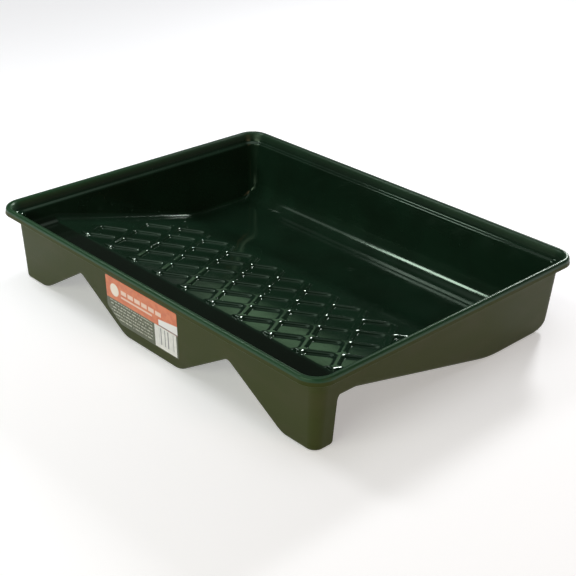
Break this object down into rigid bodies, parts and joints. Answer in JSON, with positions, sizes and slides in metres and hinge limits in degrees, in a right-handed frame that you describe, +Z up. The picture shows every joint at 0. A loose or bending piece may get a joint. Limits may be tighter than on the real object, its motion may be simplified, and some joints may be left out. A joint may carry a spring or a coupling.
{
  "type": "paint roller tray",
  "caption": "Wide one-piece plastic paint roller tray with a rolled rim, flat ledge, diamond-ribbed ramp, deep well, notched front skirt and a stuck-on label.",
  "frame": {"origin": "under the middle of the tray's outer rim, on the surface that the feet and the well stand on", "axes": "+Z up, +X along the long front edge (to the right seen from the front), +Y from the shallow ledge at the front to the deep well at the back"},
  "size_m": [0.5402, 0.4112, 0.0935],
  "materials": {
    "tray_plastic": "glossy inside, satin outside",
    "label_film": "satin printed film",
    "sticker_paper": "satin"
  },
  "bodies": {
    "root": {"tray_moulding": "tray_plastic", "front_label": "label_film", "barcode_sticker": "sticker_paper"}
  },
  "joints": []
}
